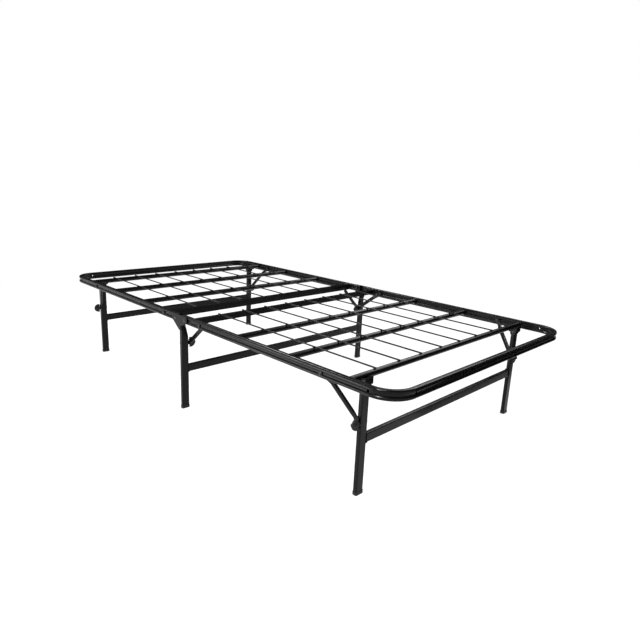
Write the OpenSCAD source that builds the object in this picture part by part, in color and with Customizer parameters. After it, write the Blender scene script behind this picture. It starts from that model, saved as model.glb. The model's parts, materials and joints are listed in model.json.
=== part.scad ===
/* [Overall size] */
// Length of the frame, from the head rail to the foot rail
bed_length = 1905; // [1700:5:2050]
// Width of the frame over its side rails
bed_width = 990; // [740:2:1400]
// Height of the top of the rails above the floor
bed_height = 356; // [330:1:420]

/* [Rails] */
// Width of the beaded rail section
rail_w = 16; // [14:0.5:20]
// Height of the beaded rail section
rail_h = 29.5; // [28:0.5:31]
// Wall of the rail tube
rail_wall = 1.6; // [1:0.1:2.5]
// Outer radius of the bends at the corners of the frame
corner_r = 82; // [60:1:100]
// Depth of the rolled groove along each side of the rail
groove_deep = 2.6; // [1:0.1:3.5]
// Height of the rolled groove
groove_tall = 13; // [9:0.5:15]
// Diameter of the headboard bracket holes
bracket_hole_d = 8.4; // [6:0.1:10]
// Distance of those holes from the end of the bend
bracket_hole_in = 4.5; // [4.5:0.5:30]

/* [Slats and wires] */
// Diameter of the slat tubes
slat_d = 20; // [16:0.5:22]
// Wall of the slat tubes
slat_wall = 1.3; // [0.8:0.1:2.5]
// Distance from the fold to the middle of the first slat
first_slat_x = 308; // [302:1:314]
// Distance from the first slat to the second
slat_pitch = 244.5; // [238:0.5:250]
// Distance from the outside of the end rail to the middle of the end slat
end_slat_in = 165; // [162:0.5:168]
// Diameter of the support wires
wire_d = 5; // [3:0.5:6]
// Number of support wires in each half
wire_count = 8; // [4:1:12]
// How far a wire runs past the middle of the end slat
wire_past = 5; // [2:0.5:8]
// Distance from the fold to the centre bar of the head half
head_bar_x = 80; // [74:1:84]
// Distance from the fold to the centre bar of the foot half
foot_bar_x = 57; // [54:1:64]
// Depth of the centre bars
bar_h = 25; // [20:0.5:26]
// Width of the flange on top of the centre bars
bar_flange = 18; // [12:0.5:24]
// Thickness of the centre bars
bar_t = 2.5; // [1.5:0.1:4]

/* [Leg frames] */
// Thickness of the leg tubes, along the bed
leg_thick = 14; // [11:0.5:15]
// Width of the leg tubes, across the bed
leg_wide = 28; // [20:0.5:30]
// Wall of the leg tubes
leg_wall = 1.4; // [1:0.1:2.5]
// Corner radius of the leg tubes
leg_r = 3; // [2.5:0.25:5]
// Distance from the end of the bed to the middle of an end leg
end_leg_in = 152; // [150:0.5:155]
// Distance from the outside of the rail to the middle of an end leg
end_leg_side_in = 69.5; // [66:0.5:75]
// Height of the middle of the crossbar on the end leg frames
end_crossbar_z = 166; // [120:1:180]
// Height of the middle of the crossbar on the centre leg frame
mid_crossbar_z = 152.5; // [110:1:180]
// Thickness of the sole of a foot cap
cap_sole = 4; // [2:0.5:6]
// How far a foot cap reaches up round its tube
cap_skirt = 6; // [4:0.5:12]
// Wall of a foot cap round its tube
cap_wall = 1; // [0.8:0.1:2.5]
// Length of the plug inside the tube
cap_plug = 18; // [10:1:30]

/* [Fold hinges] */
// Distance between the two fold pins at the middle of each side
hinge_pitch = 60; // [56:1:66]
// Depth of the fold pins below the top of the rails
hinge_drop = 16; // [13:0.5:16]
// Diameter of the fold pins and leg pins
pin_d = 8; // [6:0.5:9]
// How far a rail runs past its fold pin
rail_tail = 20; // [14:0.5:22]
// Thickness of the centre hinge plates
plate_t = 3; // [2:0.25:4]
// How far a hinge plate runs past its fold pins
plate_margin = 16; // [10:1:20]
// Length of the tapered foot of a hinge plate down its leg
plate_gusset = 22; // [16:1:40]
// Depth of the leg pins below the top of the rails
leg_pin_drop = 34; // [33:0.5:36]
// Thickness of the leg bracket sheet
bracket_t = 2.5; // [1.5:0.25:3]

/* [Braces and wing nuts] */
// Distance along the bed from an end leg to its brace rivet
end_brace_run = 98.5; // [94:0.5:103]
// Distance from the leg pin down to the bolt of the brace
end_brace_drop = 107; // [100:1:110]
// Distance along the bed from the centre leg to a brace rivet
mid_brace_run = 117.5; // [112:0.5:123]
// Distance from the rivet down to the bolt on the centre leg
mid_brace_drop = 92; // [85:1:100]
// Width of a brace
brace_w = 16; // [13:0.5:17]
// Thickness of the round part of a brace
brace_thick = 9; // [6:0.5:9.5]
// Thickness of the flattened ends of a brace
tab_t = 3; // [2:0.25:3.5]
// How far the round part of a brace stands in from its end at the rail
brace_crank = 8; // [0:0.5:10]
// Diameter of the brace bolts and rivets
bolt_d = 6; // [5:0.5:7]
// Diameter of the hub of a wing nut
nut_hub_d = 14; // [11:0.5:16]
// Length of a wing nut along its bolt
nut_long = 24; // [20:0.5:25]
// Span of the wing
nut_span = 36; // [26:1:36]
// Thickness of the wing
nut_wing_t = 5; // [3:0.5:7]

/* [Clearances] */
// Side clearance between pieces that move past each other
slide_gap = 0.3; // [0.2:0.05:0.5]
// Radial clearance of a hinge pin in its hole
pin_play = 0.08; // [0.03:0.01:0.1]
// Clearance between pieces that are welded or pressed together
weld_gap = 0.1; // [0.05:0.01:0.15]

/* [Hidden] */
$fn = 48;

half_l = bed_length / 2;
half_w = bed_width / 2;
rail_z = bed_height - rail_h / 2;
rail_bottom = bed_height - rail_h;
rail_in_y = half_w - rail_w;
bend_x = half_l - corner_r;
bend_y = half_w - corner_r;
slat_top = bed_height - wire_d - weld_gap;
slat_z = slat_top - slat_d / 2;
end_slat_x = half_l - end_slat_in;
slat_xs = [first_slat_x, first_slat_x + slat_pitch, end_slat_x];
wire_step = 2 * rail_in_y / (wire_count + 1);

hinge_x = hinge_pitch / 2;
hinge_z = bed_height - hinge_drop;
rail_start = hinge_x - rail_tail;
plate_in_y = half_w + slide_gap;
plate_half = hinge_x + plate_margin;

end_leg_x = half_l - end_leg_in;
end_leg_y = half_w - end_leg_side_in;
leg_pin_z = bed_height - leg_pin_drop;
leg_top_past = 8;
mitre_h = 52;
mitre_lean = 14;
mid_leg_y = plate_in_y - leg_wide / 2;
mid_leg_top = rail_bottom - 4;
tube_foot_z = cap_sole + weld_gap;

// The brace ends: flat against the rail at the rivet, flat against the leg at the bolt
rail_tab_y = rail_in_y - 2 * slide_gap - tab_t;
end_leg_out_y = end_leg_y + leg_wide / 2;
end_tab_y = end_leg_out_y + slide_gap;
end_rivet_x = end_leg_x - end_brace_run;
end_bolt_z = leg_pin_z - end_brace_drop;
end_brace_l = norm([end_brace_run, hinge_z - end_bolt_z]);
end_brace_angle = atan2(hinge_z - end_bolt_z, end_brace_run);
mid_leg_in_y = mid_leg_y - leg_wide / 2;
mid_bolt_z = hinge_z - mid_brace_drop;
mid_brace_l = norm([mid_brace_run, mid_brace_drop]);
mid_brace_angle = 180 - atan2(mid_brace_drop, mid_brace_run);
head_mid_tab_y = mid_leg_in_y - slide_gap - tab_t;
foot_mid_tab_y = head_mid_tab_y - slide_gap - tab_t;
rail_body_y = rail_tab_y + tab_t - brace_thick / 2 - brace_crank;
tab_long = 19;
taper_long = 15;
hook_play = 0.5;
end_hook_lean = 26;
mid_hook_lean = 19;

rivet_head_d = 12;
rivet_head_h = 2.8;
tail_head_d = 10.5;
tail_head_h = 1.8;
pin_head_d = 14;
pin_head_h = 2.4;
bolt_head_d = 12;
bolt_head_h = 2.4;

black = [0.05, 0.05, 0.055];
satin = [0.12, 0.12, 0.13];
zinc = [0.6, 0.6, 0.62];

// ---- shared shapes ----

module both_sides() {
    children();
    mirror([0, 1, 0]) children();
}

module at_head() {
    mirror([1, 0, 0]) children();
}

module round_box(w, h, r) {
    square([w - 2 * r, h], center = true);
    square([w, h - 2 * r], center = true);
    for (sx = [-1, 1], sy = [-1, 1])
        translate([sx * (w / 2 - r), sy * (h / 2 - r)]) circle(r);
}

module along_x(len) {
    rotate([90, 0, 90]) linear_extrude(len) children();
}

// Extrudes from y = 0 towards +Y
module along_y(len) {
    translate([0, len, 0]) rotate([90, 0, 0]) linear_extrude(len) children();
}

module rod_y(d, y0, y1) {
    translate([0, y1, 0]) rotate([90, 0, 0]) cylinder(d = d, h = y1 - y0);
}

// A low domed head whose flat side faces -Y
module dome_head(d, h) {
    ball = (d * d / 4 + h * h) / (2 * h);
    rotate([-90, 0, 0]) intersection() {
        cylinder(d = d, h = h);
        translate([0, 0, h - ball]) sphere(ball, $fn = 96);
    }
}

module flat_head(d, h, y) {
    rod_y(d, y, y + h);
}

// ---- rails ----

// The rolled section: two beads joined by a web that is grooved on both sides
module rail_section(wall) {
    bow = (groove_tall * groove_tall / 4 + groove_deep * groove_deep) / (2 * groove_deep);
    bead_r = rail_w * 0.3;
    difference() {
        round_box(rail_w - 2 * wall, rail_h - 2 * wall, bead_r - wall);
        for (side = [-1, 1])
            translate([side * (rail_w / 2 - groove_deep + bow), 0]) circle(bow + wall, $fn = 96);
    }
}

module rail_path(wall, tail) {
    translate([0, 0, rail_z]) {
        both_sides() {
            translate([rail_start - tail, half_w - rail_w / 2, 0])
                along_x(bend_x - rail_start + tail) rail_section(wall);
            translate([bend_x, bend_y, 0])
                rotate_extrude(angle = 90, $fn = 96)
                    translate([corner_r - rail_w / 2, 0]) rail_section(wall);
        }
        translate([half_l - rail_w / 2, -bend_y, 0]) along_y(2 * bend_y) rail_section(wall);
    }
}

module side_hole(x, z, d) {
    both_sides() translate([x, 0, z]) rod_y(d, rail_in_y - 1, half_w + 1);
}

module rail() {
    color(black) difference() {
        rail_path(0, 0);
        rail_path(rail_wall, 1);
        side_hole(hinge_x, hinge_z, pin_d + 2 * pin_play);
        side_hole(mid_brace_run, hinge_z, bolt_d + 2 * weld_gap);
        side_hole(end_rivet_x, hinge_z, bolt_d + 2 * weld_gap);
        side_hole(bend_x - bracket_hole_in, rail_z, bracket_hole_d);
        both_sides() translate([half_l + 1, bend_y - bracket_hole_in, rail_z])
            rotate([0, -90, 0]) cylinder(d = bracket_hole_d, h = rail_w + 2);
    }
}

// A rivet holds each brace to the rail: domed outside, spread flat inside
module rivets() {
    color(black) both_sides() for (x = [mid_brace_run, end_rivet_x])
        translate([x, 0, hinge_z]) {
            tail_y = rail_tab_y - slide_gap;
            rod_y(bolt_d, tail_y, half_w + weld_gap);
            translate([0, half_w + weld_gap, 0]) dome_head(rivet_head_d, rivet_head_h);
            flat_head(tail_head_d, tail_head_h, tail_y - tail_head_h);
        }
}

// ---- slats, centre bar and wires ----

module slats() {
    color(black) for (x = slat_xs)
        translate([x, -rail_in_y, slat_z])
            difference() {
                rod_y(slat_d, 0, 2 * rail_in_y);
                rod_y(slat_d - 2 * slat_wall, -1, 2 * rail_in_y + 1);
            }
}

module centre_bar(x) {
    color(black) translate([x, -rail_in_y, slat_top])
        along_y(2 * rail_in_y) polygon([
            [0, 0], [bar_flange, 0], [bar_flange, -bar_t],
            [bar_t, -bar_t], [bar_t, -bar_h], [0, -bar_h]
        ]);
}

module wires(bar_x) {
    color(satin) for (i = [1 : wire_count])
        translate([bar_x, -rail_in_y + i * wire_step, bed_height - wire_d / 2])
            along_x(end_slat_x + wire_past - bar_x) circle(d = wire_d);
}

// ---- leg brackets and pins ----

bracket_half = leg_wide / 2 + slide_gap;
bracket_lap = 12;
bracket_back = 14;
bracket_low = 3;
bracket_eye_r = 9;

// A folded sheet bracket: two cheeks with round eyes for the leg pin, joined by a back
module leg_bracket() {
    slat_dx = end_slat_x - end_leg_x;
    slat_dz = slat_z - leg_pin_z;
    front = slat_dx - bracket_lap;
    back_top = slat_dz + slat_d / 4;
    color(black) translate([end_leg_x, end_leg_y, leg_pin_z]) difference() {
        union() {
            for (y = [-bracket_half - bracket_t, bracket_half]) {
                translate([0, y, 0]) along_y(bracket_t) polygon([
                    [front, slat_dz - slat_d / 10], [bracket_back, back_top],
                    [bracket_back, bracket_low], [-bracket_eye_r, bracket_low],
                    [front, slat_dz - slat_d * 0.6]
                ]);
                rod_y(2 * bracket_eye_r, y, y + bracket_t);
            }
            translate([bracket_back - bracket_t, -bracket_half - bracket_t, bracket_low])
                cube([bracket_t, 2 * (bracket_half + bracket_t), back_top - bracket_low]);
        }
        translate([slat_dx, 0, slat_dz])
            rod_y(slat_d + 2 * weld_gap, -leg_wide, leg_wide);
        rod_y(pin_d + 2 * weld_gap, -leg_wide, leg_wide);
    }
}

module leg_pin() {
    reach = bracket_half + bracket_t + weld_gap;
    color(zinc) translate([end_leg_x, end_leg_y, leg_pin_z]) {
        rod_y(pin_d, -reach, reach);
        for (turn = [0, 180]) rotate([0, 0, turn])
            translate([0, reach, 0]) dome_head(pin_head_d - 1, pin_head_h - 0.6);
    }
}

// ---- leg frames ----

module leg_section(wall) {
    round_box(leg_thick - 2 * wall, leg_wide - 2 * wall, leg_r - wall);
}

module leg_tube(top) {
    translate([0, 0, tube_foot_z]) difference() {
        linear_extrude(top - tube_foot_z) leg_section(0);
        translate([0, 0, -1]) linear_extrude(top - tube_foot_z + 2) leg_section(leg_wall);
    }
}

module end_leg_tubes() {
    color(black) both_sides() translate([end_leg_x, end_leg_y, 0]) difference() {
        leg_tube(leg_pin_z + leg_top_past);
        translate([0, 0, leg_pin_z]) rod_y(pin_d + 2 * pin_play, -leg_wide, leg_wide);
        translate([0, 0, end_bolt_z]) rod_y(bolt_d + 2 * weld_gap, -leg_wide, leg_wide);
    }
}

// The top of a centre leg is mitred on its inner side, clear of the rails
module centre_leg_tubes() {
    color(black) both_sides() translate([0, mid_leg_y, 0]) difference() {
        leg_tube(mid_leg_top);
        translate([0, -leg_wide / 2, mid_leg_top - mitre_h]) rotate([-mitre_lean, 0, 0])
            translate([-leg_thick, -leg_wide, 0]) cube([2 * leg_thick, leg_wide, 2 * mitre_h]);
        translate([0, 0, mid_bolt_z]) rod_y(bolt_d + 2 * weld_gap, -leg_wide, leg_wide);
    }
}

module crossbar(x, z, in_y) {
    color(black) translate([x, -in_y, z]) difference() {
        along_y(2 * in_y) round_box(leg_thick, leg_wide, leg_r);
        translate([0, -1, 0]) along_y(2 * in_y + 2)
            round_box(leg_thick - 2 * leg_wall, leg_wide - 2 * leg_wall, leg_r - leg_wall);
    }
}

module end_crossbar() {
    crossbar(end_leg_x, end_crossbar_z, end_leg_y - leg_wide / 2 - weld_gap);
}

module centre_crossbar() {
    crossbar(0, mid_crossbar_z, mid_leg_in_y - weld_gap);
}

module foot_cap() {
    fit = weld_gap;
    color(satin) {
        difference() {
            linear_extrude(cap_sole + cap_skirt)
                round_box(leg_thick + 2 * (cap_wall + fit), leg_wide + 2 * (cap_wall + fit),
                          leg_r + cap_wall + fit);
            translate([0, 0, cap_sole]) linear_extrude(cap_skirt + 1)
                round_box(leg_thick + 2 * fit, leg_wide + 2 * fit, leg_r + fit);
        }
        linear_extrude(cap_sole + cap_plug) leg_section(leg_wall + fit);
    }
}

// ---- centre hinge ----

// The plate covers both rail ends and runs down on to its leg, with one long gusset
module hinge_plate() {
    gusset_z = mid_leg_top - plate_gusset;
    edge = leg_thick / 2 - 1;
    top = bed_height - 1;
    ends_z = rail_bottom + 4;
    color(black) both_sides() difference() {
        translate([0, plate_in_y, 0]) along_y(plate_t) polygon([
            [-plate_half, top], [plate_half, top], [plate_half, ends_z],
            [edge, mid_leg_top - plate_gusset / 3], [edge, gusset_z],
            [-edge, gusset_z], [-plate_half, ends_z]
        ]);
        for (x = [-hinge_x, hinge_x])
            translate([x, 0, hinge_z]) rod_y(pin_d + 2 * weld_gap, half_w, half_w + 2 * plate_t);
    }
}

module fold_pins() {
    inner = rail_in_y - slide_gap;
    outer = plate_in_y + plate_t + weld_gap;
    color(black) both_sides() for (x = [-hinge_x, hinge_x]) translate([x, 0, hinge_z]) {
        rod_y(pin_d, inner, outer);
        translate([0, outer, 0]) dome_head(pin_head_d, pin_head_h);
        flat_head(pin_head_d, pin_head_h, inner - pin_head_h);
    }
}

// ---- braces ----

module brace_slice(x, y, thick) {
    translate([x, y, 0]) along_x(0.2) round_box(thick, brace_w, min(thick * 0.49, 4), $fn = 32);
}

// A flattened tube from the rail rivet at x = 0 to the open hook at x = len.
// Its ends lie in the planes tab_rail_y and tab_leg_y; body_* are the middles of its round part
module brace(len, tab_rail_y, tab_leg_y, body_rail_y, body_leg_y, hook_side, hook_lean) {
    taper_a = tab_long + taper_long;
    taper_b = len - taper_a;
    color(black) difference() {
        union() {
            rod_y(brace_w, tab_rail_y, tab_rail_y + tab_t);
            translate([0, tab_rail_y, -brace_w / 2]) cube([tab_long, tab_t, brace_w]);
            translate([len, 0, 0]) rod_y(brace_w, tab_leg_y, tab_leg_y + tab_t);
            translate([len - tab_long, tab_leg_y, -brace_w / 2]) cube([tab_long, tab_t, brace_w]);
            hull() {
                brace_slice(tab_long - 0.2, tab_rail_y + tab_t / 2, tab_t);
                brace_slice(taper_a, body_rail_y, brace_thick);
            }
            hull() {
                brace_slice(taper_a, body_rail_y, brace_thick);
                brace_slice(taper_b, body_leg_y, brace_thick);
            }
            hull() {
                brace_slice(taper_b, body_leg_y, brace_thick);
                brace_slice(len - tab_long, tab_leg_y + tab_t / 2, tab_t);
            }
        }
        rod_y(bolt_d + 2 * pin_play, tab_rail_y - 1, tab_rail_y + tab_t + 1);
        translate([len, 0, 0]) rotate([0, -hook_side * hook_lean, 0]) {
            rod_y(bolt_d + 2 * hook_play, tab_leg_y - 1, tab_leg_y + tab_t + 1);
            translate([-bolt_d / 2 - hook_play, tab_leg_y - 1, hook_side > 0 ? 0 : -brace_w])
                cube([bolt_d + 2 * hook_play, tab_t + 2, brace_w]);
        }
    }
}

module end_brace() {
    translate([end_rivet_x, 0, hinge_z]) rotate([0, end_brace_angle, 0])
        brace(end_brace_l, rail_tab_y, end_tab_y,
              rail_body_y, end_tab_y + brace_thick / 2, 1, end_hook_lean);
}

module mid_brace(tab_y) {
    translate([mid_brace_run, 0, hinge_z]) rotate([0, mid_brace_angle, 0])
        brace(mid_brace_l, rail_tab_y, tab_y,
              rail_body_y, tab_y + tab_t - brace_thick / 2, -1, mid_hook_lean);
}

// ---- brace bolts and wing nuts ----

module bolt_out(y0, y1) {
    rod_y(bolt_d, y0, y1);
    translate([0, y0, 0]) rotate([0, 0, 180]) dome_head(bolt_head_d, bolt_head_h);
}

nut_seat_end = end_tab_y + tab_t + slide_gap;
nut_seat_mid = foot_mid_tab_y - slide_gap;

module end_brace_bolts() {
    color(zinc) both_sides() translate([end_leg_x, 0, end_bolt_z])
        bolt_out(end_leg_y - leg_wide / 2 - weld_gap, nut_seat_end + nut_long - 4);
}

module centre_brace_bolts() {
    color(zinc) both_sides() translate([0, plate_in_y + weld_gap, mid_bolt_z])
        rotate([0, 0, 180]) bolt_out(0, plate_in_y + weld_gap - nut_seat_mid + nut_long - 4);
}

// A wing nut whose seat is at y = 0, with one round-topped wing across its hub
module wing_nut() {
    wing_r = nut_span / 2;
    wing_foot = 1.5;
    wing_straight = nut_long - wing_r;
    color(satin) difference() {
        union() {
            rod_y(nut_hub_d, 0, nut_long - 2);
            translate([-nut_wing_t / 2, wing_foot, -wing_r])
                cube([nut_wing_t, wing_straight - wing_foot, nut_span]);
            translate([-nut_wing_t / 2, wing_straight, 0]) intersection() {
                rotate([0, 90, 0]) cylinder(r = wing_r, h = nut_wing_t);
                translate([0, 0, -wing_r]) cube([nut_wing_t, wing_r, nut_span]);
            }
        }
        rod_y(bolt_d + 2 * pin_play, -1, nut_long - 3);
    }
}

module end_wing_nut() {
    translate([end_leg_x, nut_seat_end, end_bolt_z]) wing_nut();
}

module centre_wing_nut() {
    translate([0, nut_seat_mid, mid_bolt_z]) mirror([0, 1, 0]) wing_nut();
}

// ---- the frame ----

module centre_foot_caps() {
    both_sides() translate([0, mid_leg_y, 0]) foot_cap();
}

module end_foot_caps() {
    both_sides() translate([end_leg_x, end_leg_y, 0]) foot_cap();
}

module near() {
    mirror([0, 1, 0]) children();
}

centre_leg_tubes();
centre_crossbar();
centre_foot_caps();
hinge_plate();  // centre_hinge_plates
fold_pins();  // centre_fold_pins
centre_brace_bolts();
near() centre_wing_nut();  // centre_near_wing_nut
centre_wing_nut();  // centre_far_wing_nut

at_head() rail();  // head_rail
at_head() slats();  // head_slats
at_head() centre_bar(head_bar_x);  // head_centre_bar
at_head() wires(head_bar_x);  // head_wires
at_head() rivets();  // head_rivets
at_head() both_sides() leg_bracket();  // head_leg_brackets
at_head() both_sides() leg_pin();  // head_leg_pins

rail();  // foot_rail
slats();  // foot_slats
centre_bar(foot_bar_x);  // foot_centre_bar
wires(foot_bar_x);  // foot_wires
rivets();  // foot_rivets
both_sides() leg_bracket();  // foot_leg_brackets
both_sides() leg_pin();  // foot_leg_pins

at_head() end_leg_tubes();  // head_leg_tubes
at_head() end_crossbar();  // head_crossbar
at_head() end_foot_caps();  // head_foot_caps
at_head() end_brace_bolts();  // head_brace_bolts

end_leg_tubes();  // foot_leg_tubes
end_crossbar();  // foot_crossbar
end_foot_caps();  // foot_foot_caps
end_brace_bolts();  // foot_brace_bolts

at_head() near() end_brace();  // head_near_brace
at_head() end_brace();  // head_far_brace
near() end_brace();  // foot_near_brace
end_brace();  // foot_far_brace

at_head() near() mid_brace(head_mid_tab_y);  // head_near_mid_brace
at_head() mid_brace(head_mid_tab_y);  // head_far_mid_brace
near() mid_brace(foot_mid_tab_y);  // foot_near_mid_brace
mid_brace(foot_mid_tab_y);  // foot_far_mid_brace

at_head() near() end_wing_nut();  // head_near_wing_nut
at_head() end_wing_nut();  // head_far_wing_nut
near() end_wing_nut();  // foot_near_wing_nut
end_wing_nut();  // foot_far_wing_nut
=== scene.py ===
import json
import math
import random

import bmesh
import bpy
from mathutils import Matrix, Vector


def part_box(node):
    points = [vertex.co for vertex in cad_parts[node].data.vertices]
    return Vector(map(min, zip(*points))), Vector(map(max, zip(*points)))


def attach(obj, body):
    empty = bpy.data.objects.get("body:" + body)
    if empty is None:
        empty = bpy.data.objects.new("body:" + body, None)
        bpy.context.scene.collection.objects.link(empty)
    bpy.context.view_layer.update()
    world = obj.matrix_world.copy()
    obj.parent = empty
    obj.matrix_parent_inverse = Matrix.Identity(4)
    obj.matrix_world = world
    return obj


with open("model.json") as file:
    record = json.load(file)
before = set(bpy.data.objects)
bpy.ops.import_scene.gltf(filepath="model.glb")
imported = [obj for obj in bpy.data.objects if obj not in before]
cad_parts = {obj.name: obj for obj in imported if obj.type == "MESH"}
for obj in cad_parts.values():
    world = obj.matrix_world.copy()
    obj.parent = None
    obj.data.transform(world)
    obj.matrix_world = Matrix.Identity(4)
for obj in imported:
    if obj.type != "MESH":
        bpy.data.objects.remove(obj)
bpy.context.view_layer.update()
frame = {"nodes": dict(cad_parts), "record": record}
random.seed(7)
ends = ("head", "foot")
sides = (-1, 1)  # the sign of y at the near and at the far side
xAxis, zAxis = Vector((1, 0, 0)), Vector((0, 0, 1))


# the finishes: grain sizes are in grains to the metre, depths in metres

coat = {
    "name": "blackPowderCoat",
    "colour": (0.0022, 0.0022, 0.0024),
    "roughness": 0.22,
    "specular": 0.14,
    "dust": 0.08,
    "grainSize": 620.0,      # orange peel
    "grainDepth": 0.00003,
    "roll": 1.5,             # how much slow unevenness lies under the grain
}
wireCoat = {
    "name": "blackWireCoat",
    "colour": (0.0035, 0.0035, 0.0037),
    "roughness": 0.34,
    "specular": 0.13,
    "dust": 0.05,
    "grainSize": 900.0,
    "grainDepth": 0.00002,
    "roll": 0.5,
}
plating = {
    "name": "blackPlating",
    "colour": (0.008, 0.008, 0.0085),
    "roughness": 0.34,
    "specular": 0.3,
    "dust": 0.1,
    "grainSize": 1800.0,
    "grainDepth": 0.00001,
    "roll": 0.2,
}
moulding = {
    "name": "mouldedPlastic",
    "colour": (0.0075, 0.0075, 0.008),
    "roughness": 0.46,
    "specular": 0.2,
    "dust": 0.2,
    "grainSize": 1500.0,
    "grainDepth": 0.00003,
    "roll": 0.6,
}
handling = {
    "patchSize": 5.0,
    "patchEdge": (0.42, 0.68),       # from clean to rubbed
    "patchRoughness": 0.05,
    "fineSize": 70.0,
    "fineRoughness": (-0.035, 0.045),
    "dustColour": (0.05, 0.048, 0.046, 1),
    "dustTilt": 0.4,                 # faces that point up more than this hold dust
}
rollSize = 38.0


def newGroup(name, inputs, outputs):
    group = bpy.data.node_groups.new(name, "ShaderNodeTree")
    for label, kind, value in inputs:
        socket = group.interface.new_socket(label, in_out="INPUT", socket_type=kind)
        socket.default_value = value
    for label, kind in outputs:
        group.interface.new_socket(label, in_out="OUTPUT", socket_type=kind)
    return group, group.nodes.new("NodeGroupInput"), group.nodes.new("NodeGroupOutput")


def noise(tree, place, scale, detail, roughness=0.55):
    node = tree.nodes.new("ShaderNodeTexNoise")
    node.inputs["Detail"].default_value = detail
    node.inputs["Roughness"].default_value = roughness
    tree.links.new(place, node.inputs["Vector"])
    if isinstance(scale, (int, float)):
        node.inputs["Scale"].default_value = scale
    else:
        tree.links.new(scale, node.inputs["Scale"])
    return node.outputs["Fac"]


def mapRange(tree, value, low, high, toLow, toHigh):
    node = tree.nodes.new("ShaderNodeMapRange")
    for label, number in (("From Min", low), ("From Max", high),
                          ("To Min", toLow), ("To Max", toHigh)):
        node.inputs[label].default_value = number
    tree.links.new(value, node.inputs["Value"])
    return node.outputs["Result"]


def maths(tree, operation, first, second):
    node = tree.nodes.new("ShaderNodeMath")
    node.operation = operation
    for socket, value in zip(node.inputs, (first, second)):
        if isinstance(value, (int, float)):
            socket.default_value = value
        else:
            tree.links.new(value, socket)
    return node.outputs["Value"]


def handlingMarks():
    # faint rub marks and dust: they lift the colour and the roughness in patches
    group, inside, out = newGroup(
        "handlingMarks",
        [("Colour", "NodeSocketColor", (0.01, 0.01, 0.01, 1)),
         ("Roughness", "NodeSocketFloat", 0.3),
         ("Dust", "NodeSocketFloat", 0.3)],
        [("Colour", "NodeSocketColor"), ("Roughness", "NodeSocketFloat")],
    )
    place = group.nodes.new("ShaderNodeTexCoord").outputs["Object"]
    broad = noise(group, place, handling["patchSize"], 4.0)
    fine = noise(group, place, handling["fineSize"], 5.0, 0.65)
    patches = mapRange(group, broad, *handling["patchEdge"], 0.0, 1.0)
    split = group.nodes.new("ShaderNodeSeparateXYZ")
    group.links.new(group.nodes.new("ShaderNodeNewGeometry").outputs["Normal"], split.inputs["Vector"])
    upward = mapRange(group, split.outputs["Z"], handling["dustTilt"], 1.0, 0.0, 1.0)
    dust = maths(group, "MULTIPLY", maths(group, "MULTIPLY", upward, patches), inside.outputs["Dust"])
    dusted = group.nodes.new("ShaderNodeMix")
    dusted.data_type = "RGBA"
    dusted.inputs["B"].default_value = handling["dustColour"]
    group.links.new(dust, dusted.inputs["Factor"])
    group.links.new(inside.outputs["Colour"], dusted.inputs["A"])
    group.links.new(dusted.outputs["Result"], out.inputs["Colour"])
    drift = mapRange(group, fine, 0.3, 0.7, *handling["fineRoughness"])
    rough = maths(group, "ADD", inside.outputs["Roughness"], drift)
    rough = maths(group, "ADD", rough, maths(group, "MULTIPLY", patches, handling["patchRoughness"]))
    group.links.new(rough, out.inputs["Roughness"])
    return group


def grainBump():
    # a fine height field: orange peel on the coat, or moulding grain
    group, inside, out = newGroup(
        "grainBump",
        [("Size", "NodeSocketFloat", 600.0), ("Roll", "NodeSocketFloat", 0.25)],
        [("Height", "NodeSocketFloat")],
    )
    place = group.nodes.new("ShaderNodeTexCoord").outputs["Object"]
    fine = noise(group, place, inside.outputs["Size"], 2.0, 0.5)
    slow = maths(group, "MULTIPLY", noise(group, place, rollSize, 2.0), inside.outputs["Roll"])
    group.links.new(maths(group, "ADD", fine, slow), out.inputs["Height"])
    return group


marksGroup = handlingMarks()
grainGroup = grainBump()


def placeGroup(tree, group, **values):
    node = tree.nodes.new("ShaderNodeGroup")
    node.node_tree = group
    for label, value in values.items():
        node.inputs[label].default_value = value
    return node


def finishMaterial(finish):
    material = bpy.data.materials.new(finish["name"])
    material.use_nodes = True
    tree = material.node_tree
    shader = tree.nodes["Principled BSDF"]
    shader.inputs["Specular IOR Level"].default_value = finish["specular"]
    marks = placeGroup(tree, marksGroup, Colour=(*finish["colour"], 1),
                       Roughness=finish["roughness"], Dust=finish["dust"])
    tree.links.new(marks.outputs["Colour"], shader.inputs["Base Color"])
    tree.links.new(marks.outputs["Roughness"], shader.inputs["Roughness"])
    grain = placeGroup(tree, grainGroup, Size=finish["grainSize"], Roll=finish["roll"])
    bump = tree.nodes.new("ShaderNodeBump")
    bump.inputs["Strength"].default_value = 1.0
    bump.inputs["Distance"].default_value = finish["grainDepth"]
    tree.links.new(grain.outputs["Height"], bump.inputs["Height"])
    tree.links.new(bump.outputs["Normal"], shader.inputs["Normal"])
    return material


materials = {
    "black_steel": finishMaterial(coat),
    "black_wire": finishMaterial(wireCoat),
    "zinc_steel": finishMaterial(plating),
    "cap_plastic": finishMaterial(moulding),
}
for part in frame["record"]["subparts"]:
    node = frame["nodes"][part["node"]]
    node.data.materials.clear()
    node.data.materials.append(materials[part["material_slot"]])
print("finishes on", len(frame["nodes"]), "nodes")


# the welds, in metres; a sink is a share of the bead's radius

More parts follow.
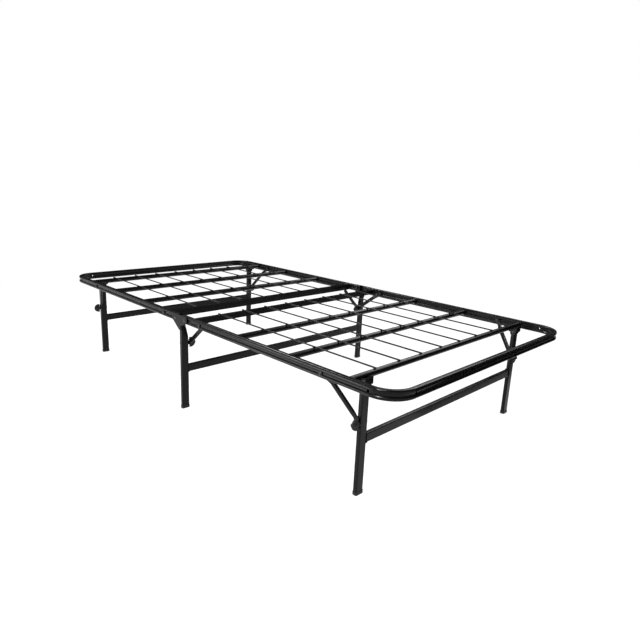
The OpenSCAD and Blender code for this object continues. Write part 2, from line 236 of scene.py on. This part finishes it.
weld = {
    "radius": 0.0021,        # of the bead's own section
    "ripple": 0.0005,        # height of its ripples
    "pitch": 0.0021,         # from one ripple to the next
    "sides": 8,              # round the section
    "step": 0.0007,          # between rings along the path
    "endSize": 0.35,         # share of its radius at an end
    "endGrowth": 0.25,       # and how much each ring adds to that
}
slatWeld = {
    "lift": 0.25,            # how far the bead stands off the tube, as a share of its radius
    "sink": 0.2,             # into the rail
    "arcs": ((200, 340, 1.0), (25, 155, 0.8)),  # degrees round the tube, and the bead's size
}
barWeld = {
    "sink": 0.2,
    "aside": 0.003,          # from the web of the bar
    "above": 0.006,          # where it starts over the lower edge
    "under": 0.003,          # where it runs below the flange
}
crossbarWeld = {
    "sink": 0.15,
    "size": 1.05,
    "tubeCorner": 0.003,     # of the tube that it runs round
    "lift": 0.0004,
}
spotWeld = {
    "long": 0.0062,
    "wide": 0.0036,
    "high": 0.0021,
    "wobble": 0.08,
    "aside": 0.0026,         # from the middle of the wire
    "lift": 0.0004,
    "sizeOnBar": 1.3,
}


def meshPiece(name, bm, body, slotName):
    mesh = bpy.data.meshes.new(name)
    bmesh.ops.recalc_face_normals(bm, faces=bm.faces)
    bm.to_mesh(mesh)
    bm.free()
    for face in mesh.polygons:
        face.use_smooth = True
    mesh.materials.append(materials[slotName])
    piece = bpy.data.objects.new(name, mesh)
    bpy.context.collection.objects.link(piece)
    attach(piece, body)


def pathPoints(corners, step):
    # even points along a broken line
    points = []
    for start, end in zip(corners, corners[1:]):
        count = max(2, round((end - start).length / step))
        points += [start.lerp(end, i / count) for i in range(count)]
    return points + [corners[-1]]


def arcPoints(centre, radius, first, last):
    # points on an upright arc, in degrees from +x towards +z
    first, last = math.radians(first), math.radians(last)
    count = max(4, round(abs(last - first) * radius / weld["step"]))
    angles = [first + (last - first) * i / count for i in range(count + 1)]
    return [centre + xAxis * (radius * math.cos(a)) + zAxis * (radius * math.sin(a)) for a in angles]


def addBead(bm, points, size=1.0):
    # a rippled bead along the points, tapered to its ends
    travelled = random.random() * weld["pitch"]
    turn = [2 * math.pi * k / weld["sides"] for k in range(weld["sides"])]
    rings = []
    for i, point in enumerate(points):
        before, after = points[max(i - 1, 0)], points[min(i + 1, len(points) - 1)]
        ahead = (after - before).normalized()
        if i:
            travelled += (point - points[i - 1]).length
        across = ahead.orthogonal().normalized()
        upward = ahead.cross(across)
        wave = abs(math.sin(math.pi * travelled / weld["pitch"]))
        fade = min(1.0, weld["endSize"] + weld["endGrowth"] * min(i, len(points) - 1 - i))
        radius = (weld["radius"] * size + weld["ripple"] * (wave - 0.5)) * fade
        rings.append([bm.verts.new(point + (across * math.cos(a) + upward * math.sin(a)) * radius)
                      for a in turn])
    for ring, following in zip(rings, rings[1:]):
        for k in range(weld["sides"]):
            m = (k + 1) % weld["sides"]
            bm.faces.new((ring[k], ring[m], following[m], following[k]))
    bm.faces.new(rings[0])
    bm.faces.new(rings[-1])


def addSpots(bm, middleX, wire, top, size=1.0):
    # a flattened, slightly uneven drop of weld metal on each side of a wire
    low, high = wire
    for side in sides:
        centre = Vector((middleX, (low.y + high.y) / 2 + side * spotWeld["aside"], top + spotWeld["lift"]))
        shape = bmesh.ops.create_icosphere(bm, subdivisions=2, radius=1.0)
        for vert in shape["verts"]:
            x, y, z = vert.co * (1 + random.uniform(-spotWeld["wobble"], spotWeld["wobble"])) * size / 2
            vert.co = centre + Vector((x * spotWeld["long"], y * spotWeld["wide"], z * spotWeld["high"]))


def islands(node):
    # the box of each separate solid in a CAD node, in order
    bm = bmesh.new()
    bm.from_mesh(frame["nodes"][node].data)
    bmesh.ops.remove_doubles(bm, verts=bm.verts, dist=1e-6)
    seen, boxes = set(), []
    for first in bm.verts:
        if first in seen:
            continue
        group, stack = [], [first]
        seen.add(first)
        while stack:
            vert = stack.pop()
            group.append(vert.co.copy())
            for edge in vert.link_edges:
                other = edge.other_vert(vert)
                if other not in seen:
                    seen.add(other)
                    stack.append(other)
        low = Vector([min(p[k] for p in group) for k in range(3)])
        high = Vector([max(p[k] for p in group) for k in range(3)])
        boxes.append((low, high))
    bm.free()
    return sorted(boxes, key=lambda b: (round(b[0].x, 4), round(b[0].y, 4), b[0].z))


def frameWelds(end):
    # the slats and the centre bar on the rail, and the wires on both
    bm = bmesh.new()
    wires = islands(f"{end}_wires")
    barLow, barHigh = (Vector(corner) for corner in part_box(f"{end}_centre_bar"))
    for low, high in islands(f"{end}_slats"):
        middle = (low + high) / 2
        radius = (high.z - low.z) / 2 + weld["radius"] * slatWeld["lift"]
        for side in sides:
            centre = Vector((middle.x, side * (high.y - weld["radius"] * slatWeld["sink"]), middle.z))
            for first, last, size in slatWeld["arcs"]:
                addBead(bm, arcPoints(centre, radius, first, last), size)
        for wire in wires:
            addSpots(bm, middle.x, wire, high.z)
    for wire in wires:
        addSpots(bm, (barLow.x + barHigh.x) / 2, wire, barHigh.z, spotWeld["sizeOnBar"])
    if end == "foot":
        web, edge, aside = barLow.x, barHigh.x, barWeld["aside"]
    else:
        web, edge, aside = barHigh.x, barLow.x, -barWeld["aside"]
    for side in sides:
        endY = side * (barHigh.y - weld["radius"] * barWeld["sink"])
        corners = [Vector((web + aside, endY, barLow.z + barWeld["above"])),
                   Vector((web + aside, endY, barHigh.z - barWeld["under"])),
                   Vector((edge, endY, barHigh.z - barWeld["under"]))]
        addBead(bm, pathPoints(corners, weld["step"]))
    meshPiece(f"{end}_frame_welds", bm, f"{end}_half", "black_steel")


def crossbarWelds(name, crossbar, body):
    # a bead all round each end of a crossbar
    low, high = (Vector(corner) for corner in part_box(crossbar))
    bm = bmesh.new()
    inset = crossbarWeld["tubeCorner"]
    quarters = ((low.x + inset, low.z + inset, 180), (high.x - inset, low.z + inset, 270),
                (high.x - inset, high.z - inset, 0), (low.x + inset, high.z - inset, 90))
    for side in sides:
        endY = side * (high.y - weld["radius"] * crossbarWeld["sink"])
        points = []
        for x, z, first in quarters:
            points += arcPoints(Vector((x, endY, z)), inset + crossbarWeld["lift"], first, first + 90)
        points.append(points[0].copy())
        addBead(bm, pathPoints(points, weld["step"]), crossbarWeld["size"])
    meshPiece(name, bm, body, "black_steel")


for end in ends:
    frameWelds(end)
    crossbarWelds(f"{end}_crossbar_welds", f"{end}_crossbar", f"{end}_leg_frame")
crossbarWelds("centre_crossbar_welds", "centre_crossbar", "centre_frame")
print("weld beads made")


# the floor, lamps and camera

studio = {
    "floor": 30.0,
    "floorColour": (0.84, 0.84, 0.84),
    "glow": 0.78,            # share of plain white in the floor near the bed
    "fadeFrom": 1.3,         # where the floor starts to turn plain white
    "fadeTo": 2.6,
    "sky": 0.4,
}
darkCards = {
    "count": 12,             # round the bed
    "away": 3.6,
    "low": 0.25,
    "high": 2.6,
    "roof": 3.3,             # height of the one overhead
    "floorFrom": (1.0, 0.15),    # one more lies on the floor at the far foot corner
    "floorTo": (3.4, 3.0),
    "floorLift": 0.003,
    "shade": (0.02, 0.02, 0.02),
}
lamps = {
    # place, size, power and aim
    "backLight": ((0.2, 2.7, 2.6), (3.4, 1.2), 70.0, (0.2, 0, 0.3)),
    "highLight": ((-2.1, -0.3, 3.1), (1.3, 0.6), 110.0, (0.2, -0.2, 0.3)),
    "frontLight": ((0.7, -2.7, 2.5), (0.45, 0.4), 110.0, (0.7, -0.4, 0.3)),
    "edgeLight": ((0.8, -1.6, 2.6), (0.9, 0.15), 60.0, (0.8, -0.5, 0.35)),
    "leftLight": ((-2.6, -2.9, 0.8), (2.8, 1.3), 110.0, (-0.2, -0.4, 0.33)),
    "floorLight": ((-0.12, -1.6, 0.03), (0.9, 1.0), 20.0, (-0.12, -1.55, 1.0)),
}
camera = {
    "place": (1.650, -1.4676, 0.8366),
    "heading": 134.55,               # degrees from +x towards +y
    "down": 14.47,
    "roll": 2.62,
    "lens": 30.5,
    "sensor": 36.0,
}


def backgroundRays(tree):
    # 1 for what the camera sees directly, in a mirror or through glass
    path = tree.nodes.new("ShaderNodeLightPath")
    seen = maths(tree, "MAXIMUM", path.outputs["Is Camera Ray"], path.outputs["Is Glossy Ray"])
    return maths(tree, "MAXIMUM", seen, path.outputs["Is Transmission Ray"])


def stagePiece(name, bm, material):
    mesh = bpy.data.meshes.new(name)
    bm.to_mesh(mesh)
    bm.free()
    mesh.materials.append(material)
    piece = bpy.data.objects.new(name, mesh)
    bpy.context.collection.objects.link(piece)
    return piece


def makeFloor():
    # pale near the bed, where it holds the shadow, and plain white further out
    material = bpy.data.materials.new("paleFloor")
    material.use_nodes = True
    tree = material.node_tree
    shader = tree.nodes["Principled BSDF"]
    shader.inputs["Base Color"].default_value = (*studio["floorColour"], 1)
    shader.inputs["Roughness"].default_value = 0.9
    shader.inputs["Specular IOR Level"].default_value = 0.1
    reach = tree.nodes.new("ShaderNodeVectorMath")
    reach.operation = "LENGTH"
    tree.links.new(tree.nodes.new("ShaderNodeTexCoord").outputs["Object"], reach.inputs[0])
    white = mapRange(tree, reach.outputs["Value"], studio["fadeFrom"], studio["fadeTo"],
                     studio["glow"], 1.0)
    glow = tree.nodes.new("ShaderNodeEmission")
    blend = tree.nodes.new("ShaderNodeMixShader")
    tree.links.new(maths(tree, "MULTIPLY", white, backgroundRays(tree)), blend.inputs["Fac"])
    tree.links.new(shader.outputs["BSDF"], blend.inputs[1])
    tree.links.new(glow.outputs["Emission"], blend.inputs[2])
    tree.links.new(blend.outputs["Shader"], tree.nodes["Material Output"].inputs["Surface"])
    bm = bmesh.new()
    bmesh.ops.create_grid(bm, x_segments=2, y_segments=2, size=studio["floor"])
    stagePiece("floor", bm, material)


def makeDarkCards():
    # black cards that only reflections see: they keep the tops and the foot end dark
    bm = bmesh.new()
    (x0, y0), (x1, y1) = darkCards["floorFrom"], darkCards["floorTo"]
    reach, lift, roof = (darkCards[k] for k in ("away", "floorLift", "roof"))
    cards = [[Vector((x, y, lift)) for x, y in ((x0, y0), (x1, y0), (x1, y1), (x0, y1))],
             [Vector((x * reach, y * reach, roof)) for x, y in ((-1, -1), (1, -1), (1, 1), (-1, 1))]]
    low, high = (Vector((0, 0, darkCards[k])) for k in ("low", "high"))
    for i in range(darkCards["count"]):
        turn = [2 * math.pi * (i + k) / darkCards["count"] for k in (0, 1)]
        left, right = (Vector((math.cos(a), math.sin(a), 0)) * reach for a in turn)
        cards.append([left + low, right + low, right + high, left + high])
    for corners in cards:
        bm.faces.new([bm.verts.new(corner) for corner in corners])
    material = bpy.data.materials.new("blackCard")
    material.use_nodes = True
    tree = material.node_tree
    tree.nodes.remove(tree.nodes["Principled BSDF"])
    dim = tree.nodes.new("ShaderNodeEmission")
    dim.inputs["Color"].default_value = (*darkCards["shade"], 1)
    tree.links.new(dim.outputs["Emission"], tree.nodes["Material Output"].inputs["Surface"])
    piece = stagePiece("darkCards", bm, material)
    for ray in ("camera", "diffuse", "transmission", "shadow"):
        setattr(piece, "visible_" + ray, False)


def makeLights():
    for name, (place, size, power, aim) in lamps.items():
        lamp = bpy.data.lights.new(name, "AREA")
        lamp.shape = "RECTANGLE"
        lamp.size, lamp.size_y = size
        lamp.energy = power
        light = bpy.data.objects.new(name, lamp)
        light.location = place
        light.rotation_euler = (Vector(aim) - Vector(place)).to_track_quat("-Z", "Y").to_euler()
        bpy.context.collection.objects.link(light)
    world = bpy.data.worlds.new("studio")
    bpy.context.scene.world = world
    world.use_nodes = True
    tree = world.node_tree
    sky = tree.nodes["Background"]
    sky.inputs["Color"].default_value = (1, 1, 1, 1)
    level = mapRange(tree, backgroundRays(tree), 0.0, 1.0, studio["sky"], 1.0)
    tree.links.new(level, sky.inputs["Strength"])


def makeCamera():
    data = bpy.data.cameras.new("camera")
    data.lens = camera["lens"]
    data.sensor_width = camera["sensor"]
    eye = bpy.data.objects.new("camera", data)
    bpy.context.collection.objects.link(eye)
    heading, down, roll = (math.radians(camera[k]) for k in ("heading", "down", "roll"))
    ahead = Vector((math.cos(heading) * math.cos(down), math.sin(heading) * math.cos(down),
                    -math.sin(down)))
    level = Vector((math.sin(heading), -math.cos(heading), 0))
    upright = level.cross(ahead)
    right = level * math.cos(roll) + upright * math.sin(roll)
    top = upright * math.cos(roll) - level * math.sin(roll)
    turn = Matrix((right, top, -ahead)).transposed().to_4x4()
    eye.matrix_world = Matrix.Translation(camera["place"]) @ turn
    bpy.context.scene.camera = eye


makeFloor()
makeDarkCards()
makeLights()
makeCamera()
bpy.context.scene.view_settings.view_transform = "Standard"
print("floor, lamps and camera ready")
